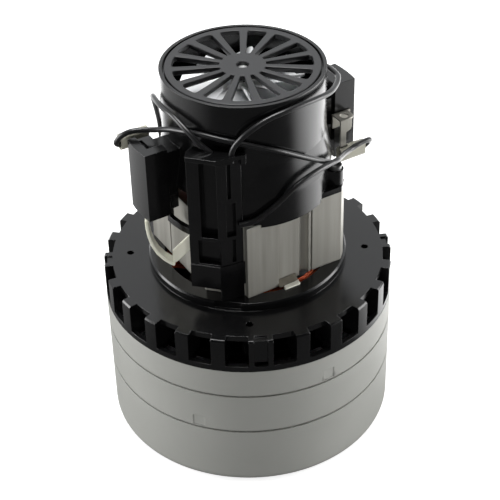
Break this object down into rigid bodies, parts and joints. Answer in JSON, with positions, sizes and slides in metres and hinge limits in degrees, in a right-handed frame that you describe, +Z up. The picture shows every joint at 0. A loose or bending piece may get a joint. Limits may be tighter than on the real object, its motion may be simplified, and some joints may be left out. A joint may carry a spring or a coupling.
{
  "type": "vacuum motor unit",
  "caption": "Bypass vacuum motor: stacked grey fan case, black discharge ring, square-cored motor with brushes, leads and a cooling-fan grille.",
  "frame": {"origin": "centre of the fan case's lower face, on the shaft's axis", "axes": "+Z up along the shaft from the inlet to the cooling-fan grille; X through the two brush boxes; -Y towards the face with the raised land that shows on the picture's right"},
  "size_m": [0.1448, 0.1448, 0.198],
  "materials": {
    "coated_case_steel": "satin grey coating",
    "black_moulding": "fine satin",
    "black_grille": "semi-gloss",
    "fan_aluminium": "bright rolled",
    "lamination_steel": "stacked sheets with streaks",
    "winding_copper": "enamelled copper",
    "white_insulation": "matt",
    "sleeve_ivory": "soft gloss",
    "tube_brass": "satin",
    "terminal_metal": "tinned",
    "lead_insulation": "soft gloss",
    "bearing_steel": "ground",
    "bright_steel": "turned",
    "brush_carbon": "matt graphite"
  },
  "bodies": {
    "frame": {"lower_fan_shell": "coated_case_steel", "middle_fan_shell": "coated_case_steel", "upper_fan_shell": "coated_case_steel", "lower_guide_plate": "fan_aluminium", "upper_guide_plate": "fan_aluminium", "discharge_bracket": "black_moulding", "stator_core": "lamination_steel", "front_field_coil": "winding_copper", "rear_field_coil": "winding_copper", "front_coil_frame": "white_insulation", "rear_coil_frame": "white_insulation", "motor_housing": "black_moulding", "fan_cover": "black_grille", "terminal_post": "black_moulding", "left_brush_box": "black_moulding", "right_brush_box": "black_moulding", "left_brush_tube": "tube_brass", "right_brush_tube": "tube_brass", "left_brush_terminal": "terminal_metal", "right_brush_terminal": "terminal_metal", "left_brush_spring": "bright_steel", "right_brush_spring": "bright_steel", "left_lead_sleeve": "sleeve_ivory", "right_lead_sleeve": "sleeve_ivory", "insulating_strap": "white_insulation", "left_brush_lead": "lead_insulation", "right_brush_lead": "lead_insulation", "lower_bearing_ring": "bearing_steel", "upper_bearing_ring": "bearing_steel", "wave_washer": "bright_steel", "housing_bolts": "bright_steel", "left_supply_lead": "lead_insulation", "right_supply_lead": "lead_insulation", "left_lead_terminal": "terminal_metal", "right_lead_terminal": "terminal_metal"},
    "rotor": {"shaft": "bright_steel", "armature_core": "lamination_steel", "armature_winding": "winding_copper", "commutator": "winding_copper", "cooling_fan": "fan_aluminium", "lower_impeller": "fan_aluminium", "middle_impeller": "fan_aluminium", "upper_impeller": "fan_aluminium", "impeller_spacers": "fan_aluminium", "clamp_washers": "bright_steel", "shaft_nuts": "bright_steel", "lower_bearing_race": "bearing_steel", "upper_bearing_race": "bearing_steel"},
    "bearing_balls": {"lower_bearing_balls": "bearing_steel", "upper_bearing_balls": "bearing_steel"},
    "left_brush": {"left_carbon_brush": "brush_carbon"},
    "right_brush": {"right_carbon_brush": "brush_carbon"}
  },
  "joints": [
    {"name": "rotor_spin", "type": "hinge", "parent": "frame", "child": "rotor", "pos_m": [0, 0, 0.1], "axis": [0, 0, 1], "continuous": true},
    {"name": "ball_orbit", "type": "hinge", "parent": "frame", "child": "bearing_balls", "pos_m": [0, 0, 0.1], "axis": [0, 0, 1], "continuous": true},
    {"name": "left_brush_slide", "type": "slide", "parent": "frame", "child": "left_brush", "axis": [-1, 0, 0], "range_m": [0, 0.006], "stiffness_N_per_m": 150, "springref_m": -0.012, "deforming": ["left_brush_spring"]},
    {"name": "right_brush_slide", "type": "slide", "parent": "frame", "child": "right_brush", "axis": [1, 0, 0], "range_m": [0, 0.006], "stiffness_N_per_m": 150, "springref_m": -0.012, "deforming": ["right_brush_spring"]}
  ],
  "couplings": [
    {"joint": "ball_orbit", "follows": "rotor_spin", "ratio": 0.368}
  ]
}
